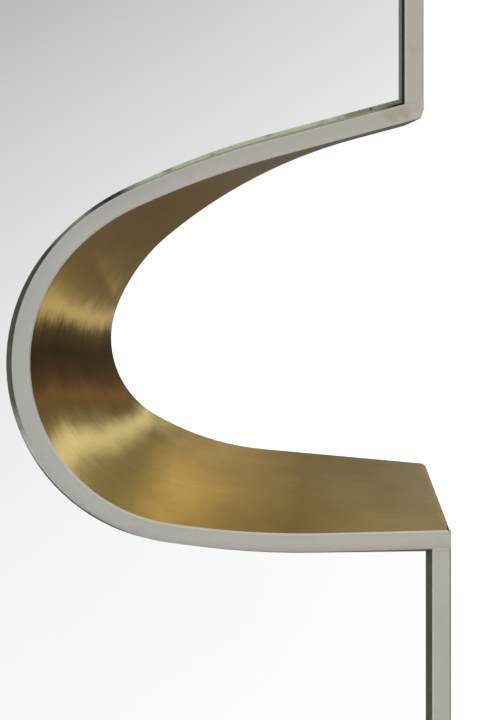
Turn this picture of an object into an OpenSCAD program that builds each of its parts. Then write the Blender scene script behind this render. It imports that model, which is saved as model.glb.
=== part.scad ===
// Wall mirror with a bay cut into its right side.
// Flat bar stands edge on round the glass and a brass skin lines the bay.
// Front faces -Y, the wall is at the +Y side, Z is up. Millimetres.

/* [Frame] */
// Width over the lower block
frame_w = 460; // [430:1:520]
// Height over the rails
frame_h = 720; // [680:1:800]
// Depth from the front edge to the back edge
frame_d = 76.2; // [72:0.1:90]
// Thickness of the outer flat bar
bar_t = 6.35; // [5.5:0.05:8]
// How far the upper block's side stands in from the lower block's side
side_step = 9.35; // [7:0.05:14]
// Small flat on the front edges
arris = 0.5; // [0.3:0.1:0.8]

/* [Bay, front line] */
// Height of the lower arm's front corner
bay_z = 315; // [300:1:330]
// Angle by which the lower arm falls on its way in
floor_fall = 1.6; // [0.5:0.1:3]
// Straight length of the lower arm
floor_run = 42; // [36:1:52]
// Radius of the slow sweep at the end of the lower arm
heel_r = 311; // [280:1:340]
// Turn of that sweep
heel_turn = 10; // [8:0.5:12]
// Radius of the main bend
bend_r = 55.8; // [52:0.1:60]
// Turn of the main bend
bend_turn = 130; // [124:0.5:132]
// Radius of the bend that leads into the upper arm
brow_r = 69.3; // [62:0.1:76]
// Turn of that bend
brow_turn = 17.4; // [15:0.1:20]
// Radius of the slow sweep into the upper arm
crown_r = 315; // [280:1:340]
// Rise of the upper arm towards the mouth
arm_rise = 15; // [13:0.5:17]

/* [Bay, back line] */
// How far the lower arm drops between front and back at the mouth
back_drop = 8; // [5:0.5:10]
// Angle by which the lower arm climbs on its way in
back_climb = 5.2; // [3:0.1:7]
// Straight length of the lower arm
back_run = 74; // [66:1:80]
// Radius of the sweep at the end of the lower arm
back_heel_r = 118; // [108:1:128]
// Turn of that sweep
back_heel_turn = 25.5; // [23:0.5:28]
// Radius of the main bend
back_bend_r = 40.1; // [36:0.1:44]
// Turn of the main bend
back_bend_turn = 80.9; // [76:0.1:86]
// Radius of the bend that leads into the upper arm
back_brow_r = 80; // [72:1:88]
// Turn of that bend
back_brow_turn = 28.8; // [25:0.1:32]
// Radius of the sweep into the upper arm
back_crown_r = 222; // [200:1:240]

/* [Bay band] */
// Thickness of the bay's metal band
band_t = 5; // [4:0.1:6]
// Thickness of the brass skin
skin_t = 1; // [0.8:0.1:1.5]
// How far the skin stops short of the band's ends
skin_margin = 0.3; // [0.2:0.1:0.6]
// How far the skin starts behind the front edges, under the band's lip
lip_d = 1.2; // [1:0.1:2]
// Width of the ground corner at the upper arm's end
corner_in = 0.9; // [0.6:0.1:1.4]
// Height of that ground corner
corner_up = 2.6; // [1.5:0.1:3.5]
// Width of the snip at the front of the skin on the lower arm
snip_in = 1.5; // [1:0.1:2.5]
// Depth of that snip
snip_run = 10; // [6:0.5:14]
// Width of the rounded back corner at the lower arm's end
round_in = 2; // [1:0.1:3]
// Depth of that rounded corner
round_run = 7; // [4:0.5:10]

/* [Glass and board] */
// How far the glass face lies behind the front edges
glass_recess = 3; // [2:0.1:4]
// Thickness of the glass
glass_t = 5; // [4:0.1:6]
// Width of the ground edge round the glass face
glass_arris = 1.2; // [0.8:0.1:2]
// Gap between the glass and the outer bars
glass_gap = 0.8; // [0.7:0.1:1.4]
// Gap between the glass and the bay band
bay_gap = 0.45; // [0.4:0.05:0.8]
// How much deeper than the band the glass is cut at the bay's inner end
cut_in = 1.6; // [1:0.1:2]
// Gap between the bedding and the bay band
bed_gap = 0.2; // [0.19:0.01:0.25]
// Thickness of the mastic dabs behind the glass
mastic_t = 1.5; // [1:0.1:3]
// Diameter of a mastic dab
mastic_d = 44; // [30:1:50]
// Thickness of the backing board
board_t = 12; // [10:1:15]
// Gap round the backing board
board_gap = 1.5; // [1.2:0.1:2.5]

/* [Tabs] */
// Leg length of a tab
tab_leg = 25; // [22:1:28]
// Length of a tab along the bar
tab_len = 30; // [24:1:40]
// Thickness of a tab
tab_t = 3; // [2.5:0.1:4]
// Shank diameter of a tab screw
tab_screw_d = 4; // [3.5:0.1:4.5]
// How far a tab screw goes into the board
tab_screw_bite = 9; // [7:0.5:9.5]

/* [Cross bars] */
// Thickness of the cross bars
cross_t = 5; // [4:0.1:6]
// Height of the hanging bar
hang_h = 50; // [46:1:60]
// Distance from the top of the frame to the middle of the hanging bar
hang_drop = 95; // [70:1:130]
// Height of the bumper bar
low_h = 40; // [32:1:50]
// Middle of the bumper bar above the base
low_z = 90; // [70:1:130]
// Space between the cross bars and the back edges
cross_inset = 9; // [8.5:0.1:12]
// Distance between the wall holes
wall_hole_gap = 150; // [120:1:180]
// Diameter of a wall hole
wall_hole_d = 6.5; // [5.5:0.1:7]

/* [Hangers] */
// Distance from the hanging bar's ends to the middle of the hangers
hanger_inset = 74; // [60:1:90]
// Wire diameter of a ring
wire_d = 4; // [3.5:0.1:4.5]
// Inner width of a ring
ring_w = 26; // [24:0.5:30]
// Width of a strap
strap_w = 16; // [14:0.5:18]
// Thickness of a strap
strap_t = 1.5; // [1.2:0.1:2]
// Running clearance round the wire, on the radius
wire_play = 0.05; // [0.03:0.01:0.08]
// Shank diameter of a strap screw
strap_screw_d = 4; // [3.5:0.1:4.5]
// Radius of a screw head
head_r = 3.8; // [3.4:0.1:4.2]
// Height of a screw head
head_h = 2.2; // [1.8:0.1:2.6]
// Width of a nut over its corners
nut_d = 8.1; // [7.5:0.1:9]
// Height of a nut
nut_h = 3.2; // [2.8:0.1:3.8]
// How far a screw stands out of the front of its cross bar
screw_out = 5; // [4.2:0.1:6]

/* [Bumpers] */
// Diameter of a bumper
bumper_d = 22; // [18:1:26]
// How far a bumper stands out of the back
bumper_proud = 1.5; // [1:0.1:2.5]
// Distance from the bumper bar's ends to the middle of the bumpers
bumper_inset = 54; // [40:1:80]
// Thickness of rubber under a bumper's screw head
bumper_seat = 4; // [3:0.1:5]
// Shank diameter of a bumper screw
bumper_screw_d = 4; // [3.5:0.1:4.5]
// Radius of the space for a bumper's screw head
bumper_well_r = 4.5; // [4.4:0.1:5.5]

/* [Hidden] */
y_front = -(frame_d + bumper_proud) / 2;
y_back = y_front + frame_d;
x_left = -frame_w / 2;
x_low = frame_w / 2;
x_up = x_low - side_step;
wrap_t = skin_t + band_t;
y_glass = y_front + glass_recess;
y_board = y_glass + glass_t + mastic_t;
y_tab = y_board + board_t;
y_cross = y_back - cross_inset - cross_t;
y_hang = y_back - cross_inset;
hang_z = frame_h - hang_drop;
hanger_x = [x_left + bar_t + hanger_inset, x_up - bar_t - hanger_inset];
hole_x = [(x_left + x_up - wall_hole_gap) / 2, (x_left + x_up + wall_hole_gap) / 2];
bumper_x = [x_left + bar_t + bumper_inset, x_low - bar_t - bumper_inset];

front_line = [bay_z, 180 + floor_fall, floor_run, heel_r, heel_turn, bend_r,
    bend_turn, brow_r, brow_turn, crown_r];
back_line = [bay_z - back_drop, 180 - back_climb, back_run, back_heel_r, back_heel_turn,
    back_bend_r, back_bend_turn, back_brow_r, back_brow_turn, back_crown_r];

// Stops along the bay: x, z and heading. Every bend turns clockwise.
function on_run(s, l) = [s[0] + l * cos(s[2]), s[1] + l * sin(s[2]), s[2]];
function on_bend(s, r, a) = [
    s[0] + r * (sin(s[2]) - sin(s[2] - a)),
    s[1] - r * (cos(s[2]) - cos(s[2] - a)),
    s[2] - a];
function run(s, l, n) = [for (i = [1:n]) on_run(s, l * i / n)];
function bend(s, r, a, n) = [for (i = [1:n]) on_bend(s, r, a * i / n)];
function last(v) = v[len(v) - 1];

// The bay line from the cuts on the lower arm to the cuts on the upper arm
function bay(v, low_cuts, up_cuts) = let(
    corner = [x_low, v[0], v[1]],
    starts = [for (x = low_cuts) on_run(corner, (x - x_low) / cos(v[1]))],
    first_run = v[2] - (last(low_cuts) - x_low) / cos(v[1]),
    a = run(last(starts), first_run, 14),
    b = bend(last(a), v[3], v[4], 7),
    c = bend(last(b), v[5], v[6], 34),
    d = bend(last(c), v[7], v[8], 7),
    e = bend(last(d), v[9], last(d)[2] - arm_rise, 9),
    last_run = (up_cuts[0] - last(e)[0]) / cos(arm_rise),
    g = run(last(e), last_run, 8),
    ends = [for (x = up_cuts) on_run(last(e), last_run + (x - up_cuts[0]) / cos(arm_rise))]
) concat(starts, a, b, c, d, e, [for (i = [0:6]) g[i]], ends);

// A stop moved away from the bay by t, square to the line or straight down a cut
function aside(s, t) = [s[0] - t * sin(s[2]), s[1] + t * cos(s[2])];
function on_cut(s, t) = [s[0], s[1] + t / cos(s[2])];

// The bay line at depth y, moved away from the bay by t
function bay_at(y, t, low_cuts, up_cuts) = let(
    u = (y - y_front) / frame_d,
    f = bay(front_line, low_cuts, up_cuts),
    b = bay(back_line, low_cuts, up_cuts),
    n = len(f)
) [for (i = [0:n - 1])
    (i < len(low_cuts) || i >= n - len(up_cuts))
    ? on_cut(f[i], t) * (1 - u) + on_cut(b[i], t) * u
    : aside(f[i], t) * (1 - u) + aside(b[i], t) * u];

function backwards(v) = [for (i = [len(v) - 1:-1:0]) v[i]];

// A ribbon between two distances from the bay line
function ribbon(y, t_in, t_out, low_cuts, up_cuts) =
    concat(bay_at(y, t_in, low_cuts, up_cuts), backwards(bay_at(y, t_out, low_cuts, up_cuts)));

// The bay line at depth y, moved away from the bay by t and in by c, cut at r and r_up
function cut_line(y, t, c, r, r_up) = [for (q = bay_at(y, wrap_t + t, [r + c], [r_up + c])) q - [c, 0]];

// Outline of a pane at depth y, kept off the bars by gap and off the band by t
function pane(y, gap, t, c = 0) = let(
    l = x_left + bar_t + gap,
    r = x_low - bar_t - gap,
    r_up = x_up - bar_t - gap
) concat([[l, bar_t + gap], [r, bar_t + gap]], cut_line(y, t, c, r, r_up),
    [[r_up, frame_h - bar_t - gap], [l, frame_h - bar_t - gap]]);

// A solid through outlines that stand one behind the other along Y.
// A strip's outline runs out along one side and back along the other, stop by stop.
module loft(ys, rings, strip = false) {
    n = len(rings[0]);
    m = len(rings);
    pts = [for (j = [0:m - 1]) for (p = rings[j]) [p[0], ys[j], p[1]]];
    quads = [for (i = [0:n / 2 - 2]) each [[i, i + 1, n - 2 - i], [i, n - 2 - i, n - 1 - i]]];
    far = strip ? quads : [[for (i = [0:n - 1]) i]];
    // The way back splits its faces along the same stops as the way out, so strips fit face to face
    sides = [for (j = [0:m - 2]) for (i = [0:n - 1]) let(a = j * n + i, b = j * n + (i + 1) % n)
        each (strip && i >= n / 2) ? [[a, b, a + n], [b, b + n, a + n]]
            : [[a, b, b + n], [a, b + n, a + n]]];
    polyhedron(pts, concat(
        [for (f = far) backwards(f)],
        [for (f = far) [for (i = f) (m - 1) * n + i]],
        sides), convexity = 8);
}

// A flat outline in X and Z made thick along Y
module slab(y, t) {
    translate([0, y + t, 0]) rotate([90, 0, 0]) linear_extrude(t) children();
}

module pin_y(x, z, y, t, d) {
    translate([x, y + t, z]) rotate([90, 0, 0]) cylinder(h = t, d = d, $fn = 40);
}

// Flat bar standing edge on, with its two front edges eased
module bar(l) {
    linear_extrude(l) polygon([[arris, 0], [bar_t - arris, 0], [bar_t, arris],
        [bar_t, frame_d], [0, frame_d], [0, arris]]);
}

module rail(z) {
    translate([x_left, y_front, z]) rotate([0, 90, 0]) bar(frame_w);
}

module stile(x) {
    translate([x, y_front, 0]) bar(frame_h);
}

y_lip = y_front + lip_d;
band_ys = [y_front, y_front + arris, y_back];
band_cuts = [[x_low, x_low - skin_margin], [x_up - skin_margin, x_up]];

function band_out(y, low_cuts, up_cuts) =
    bay_at(y, wrap_t - (y == y_front ? arris : 0), low_cuts, up_cuts);

// The band's side of the joint where a stile meets it, run past the stile's outer face
arm_cuts = [concat([x_low + 2], band_cuts[0]), concat(band_cuts[1], [x_up + 2])];
joint_room = 30;
module arm_space(first, count, rise) {
    loft(band_ys, [for (y = band_ys) let(
        o = band_out(y, arm_cuts[0], arm_cuts[1]),
        i = first < 0 ? len(o) + first : first,
        k = i + count
    ) concat([for (q = [i:k]) o[q] + [0, rise]], [for (q = [k:-1:i]) o[q]])], strip = true);
}

// Height at which the upper arm's bay face ends, at the front
arm_end = last(bay(front_line, band_cuts[0], band_cuts[1]))[1];

module top_rail() color("silver") intersection() {
    rail(frame_h);
    slab(y_front, frame_d) polygon([[x_left, frame_h], [x_left + bar_t, frame_h - bar_t],
        [x_up - bar_t, frame_h - bar_t], [x_up, frame_h]]);
}

module bottom_rail() color("silver") intersection() {
    rail(bar_t);
    slab(y_front, frame_d) polygon([[x_left, 0], [x_low, 0], [x_low - bar_t, bar_t],
        [x_left + bar_t, bar_t]]);
}

module left_stile() color("silver") intersection() {
    stile(x_left);
    slab(y_front, frame_d) polygon([[x_left, 0], [x_left + bar_t, bar_t],
        [x_left + bar_t, frame_h - bar_t], [x_left, frame_h]]);
}

module upper_right_stile() color("silver") difference() {
    intersection() {
        stile(x_up - bar_t);
        slab(y_front, frame_d) polygon([[x_up - bar_t, arm_end], [x_up, arm_end],
            [x_up, frame_h], [x_up - bar_t, frame_h - bar_t]]);
    }
    arm_space(-6, 5, -joint_room);
}

module lower_right_stile() color("silver") difference() {
    intersection() {
        stile(x_low - bar_t);
        slab(y_front, frame_d) polygon([[x_low - bar_t, bar_t], [x_low, 0], [x_low, bay_z],
            [x_low - bar_t, bay_z]]);
    }
    arm_space(0, 6, joint_room);
}

// Cutter for the ground corner at the end of the upper arm
module arm_corner() {
    slab(y_front - 1, frame_d + 2) polygon([
        [x_up - 2 * corner_in, arm_end - corner_up], [x_up + 5, arm_end - corner_up],
        [x_up + 5, arm_end + 2 * corner_up], [x_up + corner_in, arm_end + 2 * corner_up]]);
}

// Cutter in plan over the end of the lower arm
module over_arm() {
    translate([0, 0, bay_z - joint_room]) linear_extrude(2 * joint_room) children();
}
module back_corner() over_arm() difference() {
    translate([x_low - round_in, y_back - round_run]) square([round_in + 3, round_run + 3]);
    translate([x_low - round_in, y_back - round_run]) scale([round_in, round_run]) circle(1, $fn = 48);
}
module front_snip() over_arm()
    polygon([[x_low - snip_in, y_front], [x_low + 3, y_front], [x_low + 3, y_front + snip_run],
        [x_low, y_front + snip_run]]);

// Profile of the band, as depth and distance from the bay line, and its end in three parts:
// a front lip, and behind it a body that the skin lies on
band_profile = [[y_front, arris], [y_front + arris, 0], [y_lip, 0], [y_lip, skin_t], [y_back, skin_t],
    [y_back, wrap_t], [y_front + arris, wrap_t], [y_front, wrap_t - arris]];
band_end = [[0, 1, 6, 7], [1, 2, 3, 6], [3, 4, 5, 6]];

// A profile drawn along the bay from the cuts on the lower arm to the cuts on the upper arm
module along_bay(profile, end, low_cuts, up_cuts) {
    lines = [for (q = profile) bay_at(q[0], q[1], low_cuts, up_cuts)];
    n = len(lines[0]);
    m = len(profile);
    polyhedron([for (k = [0:m - 1]) for (q = lines[k]) [q[0], profile[k][0], q[1]]], concat(
        [for (f = end) [for (k = f) k * n]],
        [for (f = end) [for (k = backwards(f)) k * n + n - 1]],
        [for (k = [0:m - 1]) for (i = [0:n - 2]) let(
            a = k * n + i, b = (k + 1) % m * n + i, to_back = profile[(k + 1) % m][0] >= profile[k][0])
            each to_back ? [[a, a + 1, b + 1], [a, b + 1, b]] : [[a, a + 1, b], [a + 1, b + 1, b]]]),
        convexity = 8);
}

module bay_band() color("silver") difference() {
    along_bay(band_profile, band_end, band_cuts[0], band_cuts[1]);
    arm_corner();
    back_corner();
}

module bay_skin() color("goldenrod") difference() {
    loft([y_lip, y_back], [for (y = [y_lip, y_back])
        ribbon(y, 0, skin_t, [band_cuts[0][1]], [band_cuts[1][0]])], strip = true);
    arm_corner();
    back_corner();
    front_snip();
}

// Cutter that grinds one straight edge of the glass: from a to b, metal on its right
module grind(a, b) {
    l = norm(b - a);
    translate([a[0], y_glass, a[1]]) rotate([0, -atan2(b[1] - a[1], b[0] - a[0]), 0])
        translate([-5, 0, 0]) rotate([90, 0, 90]) linear_extrude(l + 10)
        polygon([[-1, glass_arris + 1], [glass_arris, 0], [glass_arris, -2], [-1, -2]]);
}

module mirror_glass() color("lightcyan") {
    y = y_glass + glass_t / 2;
    edge = pane(y, glass_gap, bay_gap, cut_in);
    n = len(edge);
    low = edge[1][0];
    up = edge[n - 2][0];
    ys = [y_glass - 1, y_glass + glass_arris];
    difference() {
        slab(y_glass, glass_t) polygon(edge);
        for (i = [0, 1, n - 3, n - 2, n - 1]) grind(edge[i], edge[(i + 1) % n]);
        loft(ys, [for (k = [0, 1]) concat(
            cut_line(y, -2, cut_in, low + 5, up + 5),
            backwards(cut_line(y, bay_gap + (1 - k) * (glass_arris + 1), cut_in, low + 5, up + 5)))],
            strip = true);
    }
}

// Dark strip that beds the edge of the glass in the metal
module glass_bedding() color("black") {
    t = glass_t - glass_arris;
    slab(y_glass + glass_arris, t) difference() {
        polygon(pane(y_glass + glass_t / 2, 0, bed_gap));
        polygon(pane(y_glass + glass_t / 2, glass_gap, bay_gap, cut_in));
    }
}

dab_cols = [-0.34, -0.04];
dab_rows = [0.12, 0.37, 0.63, 0.88];
module mastic_dabs() color("dimgray")
    for (i = dab_cols, k = dab_rows)
        pin_y(frame_w * i, frame_h * k, y_glass + glass_t, mastic_t, mastic_d);

// Tabs: position of the bar's inner face, and the turn that points the tab inwards
tab_z = [0.16, 0.5, 0.84];
module at_left(k) translate([x_left + bar_t, y_tab, frame_h * tab_z[k]]) children();
module at_low(z) translate([x_low - bar_t, y_tab, z]) rotate([0, 180, 0]) children();
module at_up(z) translate([x_up - bar_t, y_tab, z]) rotate([0, 180, 0]) children();
module at_bottom(x) translate([x, y_tab, bar_t]) rotate([0, -90, 0]) children();
module at_top(x) translate([x, y_tab, frame_h - bar_t]) rotate([0, 90, 0]) children();

function arc(c, r, a, b, n) = [for (i = [0:n]) c + r * [cos(a + (b - a) * i / n), sin(a + (b - a) * i / n)]];

tab_hole = 15;
module tab() color("gray") difference() {
    linear_extrude(tab_len, center = true) polygon(concat(
        [[tab_leg, 0], [tab_leg, tab_t]],
        arc([tab_t + 2, tab_t + 2], 2, 270, 180, 6),
        [[tab_t, tab_leg], [0, tab_leg]],
        arc([tab_t + 2, tab_t + 2], tab_t + 2, 180, 270, 8)));
    pin_y(tab_hole, 0, -1, tab_t + 2, tab_screw_d);
}
module tab_screw() {
    pin_y(tab_hole, 0, -tab_screw_bite, tab_screw_bite + tab_t, tab_screw_d);
    translate([tab_hole, tab_t, 0]) rotate([-90, 0, 0]) rotate_extrude($fn = 40)
        polygon(concat([[0, 0], [4, 0]], arc([2.2, 0.6], 1.8, 0, 90, 6), [[0, 2.4]]));
}

module every_tab() {
    for (k = [0:2]) at_left(k) children();
    at_low(0.16 * frame_h) children();
    at_low(0.36 * frame_h) children();
    at_up(0.72 * frame_h) children();
    at_up(0.92 * frame_h) children();
    for (x = [-0.25, 0.2]) at_bottom(x * frame_w) children();
    for (x = [-0.25, 0.2]) at_top(x * frame_w) children();
}

module backing_board() color("burlywood") difference() {
    slab(y_board, board_t) polygon(pane(y_board + board_t / 2, board_gap, board_gap));
    every_tab() pin_y(tab_hole, 0, -tab_screw_bite, tab_screw_bite + 1, tab_screw_d);
}

module left_tab_lower() at_left(0) tab();
module left_tab_middle() at_left(1) tab();
module left_tab_upper() at_left(2) tab();
module right_tab_bottom() at_low(0.16 * frame_h) tab();
module right_tab_lower() at_low(0.36 * frame_h) tab();
module right_tab_upper() at_up(0.72 * frame_h) tab();
module right_tab_top() at_up(0.92 * frame_h) tab();
module bottom_tab_left() at_bottom(-0.25 * frame_w) tab();
module bottom_tab_right() at_bottom(0.2 * frame_w) tab();
module top_tab_left() at_top(-0.25 * frame_w) tab();
module top_tab_right() at_top(0.2 * frame_w) tab();
module tab_screws() color("dimgray") every_tab() tab_screw();

// Hangers: each strap folds round the straight side of its ring
loop_r = wire_d / 2 + wire_play + strap_t;
loop_y = y_hang + wire_d / 2 + strap_t + 0.4;
loop_z = hang_z + hang_h / 2 - 5;
strap_l = 40;
screw_drops = [10, 33];

module at_hanger(k) translate([hanger_x[k], loop_y, loop_z]) children();

module strap() color("gray") difference() {
    union() {
        rotate([0, 90, 0]) cylinder(h = strap_w, r = loop_r, center = true, $fn = 48);
        translate([-strap_w / 2, y_hang - loop_y, -strap_l]) cube([strap_w, strap_t, strap_l + 1]);
    }
    rotate([0, 90, 0]) cylinder(h = strap_w + 1, r = wire_d / 2 + wire_play, center = true, $fn = 48);
    for (d = screw_drops) pin_y(0, -d, y_hang - loop_y - 1, strap_t + 2, strap_screw_d);
}

// Ring: a straight side, two tight corners and a half circle, from one wire
module ring() color("lightgray") {
    half = (ring_w + wire_d) / 2;
    corner = 5;
    w = wire_d / 2;
    rotate([0, 90, 0]) cylinder(h = 2 * (half - corner), r = w, center = true, $fn = 32);
    for (s = [0, 1]) mirror([s, 0, 0]) {
        translate([half - corner, 0, -corner]) rotate([90, 0, 0])
            rotate_extrude(angle = 90, $fn = 48) translate([corner, 0]) circle(w, $fn = 32);
        translate([half, 0, -corner - 2]) cylinder(h = 2, r = w, $fn = 32);
    }
    translate([0, 0, -corner - 2]) rotate([-90, 0, 0])
        rotate_extrude(angle = 180, $fn = 64) translate([half, 0]) circle(w, $fn = 32);
}

module strap_left() at_hanger(0) strap();
module strap_right() at_hanger(1) strap();
module ring_left() at_hanger(0) ring();
module ring_right() at_hanger(1) ring();

// Head of a round-topped screw, on a face at the origin
module head() {
    rotate([-90, 0, 0]) rotate_extrude($fn = 40) polygon(concat([[0, 0], [head_r, 0]],
        arc([head_r - 1.6, head_h - 1.6], 1.6, 0, 90, 6), [[0, head_h]]));
}
module nut(d) rotate([90, 0, 0]) difference() {
    cylinder(h = nut_h, d = nut_d, $fn = 6);
    translate([0, 0, -1]) cylinder(h = nut_h + 2, d = d, $fn = 40);
}

module strap_screws() color("dimgray") for (k = [0, 1], d = screw_drops) {
    pin_y(hanger_x[k], loop_z - d, y_cross - screw_out, cross_t + strap_t + screw_out, strap_screw_d);
    translate([hanger_x[k], y_hang + strap_t, loop_z - d]) head();
}

module strap_nuts() color("dimgray") for (k = [0, 1], d = screw_drops)
    translate([hanger_x[k], y_cross, loop_z - d]) nut(strap_screw_d);

module hanging_bar() color("slategray") difference() {
    translate([x_left + bar_t, y_cross, hang_z - hang_h / 2])
        cube([frame_w - side_step - 2 * bar_t, cross_t, hang_h]);
    for (x = hanger_x, d = screw_drops) pin_y(x, loop_z - d, y_cross - 1, cross_t + 2, strap_screw_d);
    for (x = hole_x) pin_y(x, hang_z, y_cross - 1, cross_t + 2, wall_hole_d);
}

module bumper_bar() color("slategray") difference() {
    translate([x_left + bar_t, y_cross, low_z - low_h / 2])
        cube([frame_w - 2 * bar_t, cross_t, low_h]);
    for (x = bumper_x) pin_y(x, low_z, y_cross - 1, cross_t + 2, bumper_screw_d);
}

bumper_h = cross_inset + bumper_proud;
module bumper(k) color("dimgray") translate([bumper_x[k], y_hang, low_z]) rotate([-90, 0, 0])
    rotate_extrude($fn = 64) polygon(concat([[bumper_screw_d / 2, 0], [bumper_d / 2, 0]],
        arc([bumper_d / 2 - 2, bumper_h - 2], 2, 0, 90, 6),
        [[bumper_well_r, bumper_h], [bumper_well_r, bumper_seat], [bumper_screw_d / 2, bumper_seat]]));

module bumper_left() bumper(0);
module bumper_right() bumper(1);
module bumper_screws() color("gray") for (x = bumper_x) {
    pin_y(x, low_z, y_cross - screw_out, screw_out + cross_t + bumper_seat, bumper_screw_d);
    translate([x, y_hang + bumper_seat, low_z]) head();
}
module bumper_nuts() color("dimgray") for (x = bumper_x)
    translate([x, y_cross, low_z]) nut(bumper_screw_d);

top_rail();
bottom_rail();
left_stile();
upper_right_stile();
lower_right_stile();
bay_band();
bay_skin();
mirror_glass();
glass_bedding();
mastic_dabs();
backing_board();
left_tab_lower();
left_tab_middle();
left_tab_upper();
right_tab_bottom();
right_tab_lower();
right_tab_upper();
right_tab_top();
bottom_tab_left();
bottom_tab_right();
top_tab_left();
top_tab_right();
tab_screws();
hanging_bar();
strap_left();
strap_right();
ring_left();
ring_right();
strap_screws();
strap_nuts();
bumper_bar();
bumper_left();
bumper_right();
bumper_screws();
bumper_nuts();
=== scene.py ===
from math import cos, hypot, pi, radians, sin

import bmesh
import bpy
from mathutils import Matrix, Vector


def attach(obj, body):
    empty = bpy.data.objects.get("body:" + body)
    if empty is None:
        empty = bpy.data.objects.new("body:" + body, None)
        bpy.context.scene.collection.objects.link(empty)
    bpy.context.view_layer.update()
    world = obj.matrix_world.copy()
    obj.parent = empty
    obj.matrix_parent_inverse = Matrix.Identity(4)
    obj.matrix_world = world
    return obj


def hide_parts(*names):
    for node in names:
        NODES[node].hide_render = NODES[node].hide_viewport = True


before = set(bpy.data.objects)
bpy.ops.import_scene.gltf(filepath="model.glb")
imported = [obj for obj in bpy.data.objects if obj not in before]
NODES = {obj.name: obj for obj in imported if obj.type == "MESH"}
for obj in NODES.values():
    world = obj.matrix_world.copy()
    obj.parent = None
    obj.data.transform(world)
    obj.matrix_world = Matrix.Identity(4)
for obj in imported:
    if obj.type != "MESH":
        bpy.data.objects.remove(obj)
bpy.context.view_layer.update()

# An accent mirror with a brass-lined bay. Every solid of the frame gets its finish here. The bay's
# band and skin, the hangers, the bumpers and the screws are drawn again with finer meshes, and a
# plain studio stands round the mirror.

MM = 0.001

# The frame, in metres: the block above the bay stops SIDE_STEP short of the block below it
FRAME_W, FRAME_D = 460 * MM, 76.2 * MM
BUMPER_PROUD = 1.5 * MM
SIDE_STEP = 9.35 * MM
X_LOW = FRAME_W / 2
X_UP = X_LOW - SIDE_STEP
Y_FRONT = -(FRAME_D + BUMPER_PROUD) / 2
Y_BACK = Y_FRONT + FRAME_D

# The band round the bay, with its lip in front, and the brass skin behind the lip
ARRIS = 0.5 * MM
WRAP_T = 6.0 * MM
LIP_D = 1.2 * MM
Y_LIP = Y_FRONT + LIP_D
SKIN_T = 1.0 * MM
SKIN_MARGIN = 0.3 * MM
BAND_CUTS, SKIN_CUTS = 7, 11  # crosswise loops between front and back

# What is ground off the arms: the upper arm's corner, the lower arm's rounded back corner and the
# skin's front corner, each with the block that takes it away
CORNER_IN, CORNER_UP, CORNER_BLOCK = 0.9 * MM, 2.6 * MM, (16 * MM, 120 * MM, 8 * MM)
ROUND_IN, ROUND_RUN, ROUND_BLOCK = 2 * MM, 7 * MM, (40 * MM, 40 * MM, 6 * MM)
ROUND_AT = (12, 35, 58, 80)  # degrees round the corner at which it is ground
SNIP_IN, SNIP_RUN, SNIP_BLOCK = 1.5 * MM, 10 * MM, (30 * MM, 30 * MM, 8 * MM)

# The two lines of the bay: corner height, heading, straight run, then each bend's radius and turn.
# The last bend turns until the upper arm rises by ARM_RISE.
ARM_RISE = 15.0
FRONT_LINE = (315 * MM, 181.6, 42 * MM,
              ((311 * MM, 10.0), (55.8 * MM, 130.0), (69.3 * MM, 17.4), (315 * MM, None)))
BACK_LINE = (307 * MM, 174.8, 74 * MM,
             ((118 * MM, 25.5), (40.1 * MM, 80.9), (80 * MM, 28.8), (222 * MM, None)))
RUN_STEPS = 8
BEND_STEPS = (10, 60, 14, 14)

# Hangers, each a strap folded round a wire ring
HANGER_X = (-149.65 * MM, 140.3 * MM)
HANG_Y = 28.35 * MM
LOOP_Y, LOOP_Z = 32.25 * MM, 645 * MM
WIRE = 4 * MM
RING_HALF, RING_BEND, RING_SIDE = 15 * MM, 5 * MM, 2 * MM
STRAP_W, STRAP_T, STRAP_L = 16 * MM, 1.5 * MM, 40 * MM
STRAP_SOFT = 0.25 * MM
FOLD_R, FOLD_EASE = 2.8 * MM, 1.2 * MM
FOLD_FROM, FOLD_TURN = radians(168), radians(290)
WIRE_SIDES, CORNER_STEPS, BOW_STEPS, FOLD_STEPS = 24, 10, 36, 30

# Bumpers, each with a well for its screw
BUMPER_X, BUMPER_Z = (-169.65 * MM, 169.65 * MM), 90 * MM
BUMPER_R, BUMPER_H, BUMPER_RIM = 11 * MM, 10.5 * MM, 2 * MM
WELL_R, WELL_SOFT, SEAT, BORE_R = 4.5 * MM, 0.6 * MM, 4 * MM, 2 * MM
RIM_AT, TURNED_STEPS = (0, 18, 36, 54, 72, 90), 64

# Screws: head radius, head height, shank radius and shank length, and where they sit
TAB_SCREW = (4 * MM, 2.4 * MM, 2 * MM, 12 * MM)
STRAP_SCREW = (3.8 * MM, 2.2 * MM, 2 * MM, 11.5 * MM)
BUMPER_SCREW = (3.8 * MM, 2.2 * MM, 2 * MM, 14 * MM)
DOME, TIP = 0.7, 0.45  # shares of the head's height and of the shank's radius
RECESS_LONG, RECESS_DEEP, RECESS_WIDE = 1.1, 1.1, 0.24  # of the head's radius, height and radius
SCREW_SIDES, DOME_STEPS = 40, 6
TAB_SCREW_Y = -14.35 * MM
TAB_SCREW_XZ = (
    (-208.65, 115.2), (-208.65, 360), (-208.65, 604.8), (208.65, 115.2), (208.65, 259.2),
    (199.3, 518.4), (199.3, 662.4), (-115, 21.35), (92, 21.35), (-115, 698.65), (92, 698.65))
STRAP_SCREW_Z = (LOOP_Z - 10 * MM, LOOP_Z - 33 * MM)

# Edges that turn by less than this many degrees are shaded smooth
SMOOTH, SMOOTH_WIRE, SMOOTH_SMALL, SMOOTH_TURNED = 35, 60, 40, 32

SPECK = 1e-4  # size of the plane that is merged into a line's first point
NEAR = 1e-6  # points closer than this are at the same place
FINE = 1e5  # steps in a metre, by which edges are told apart


# Making pieces

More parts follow.
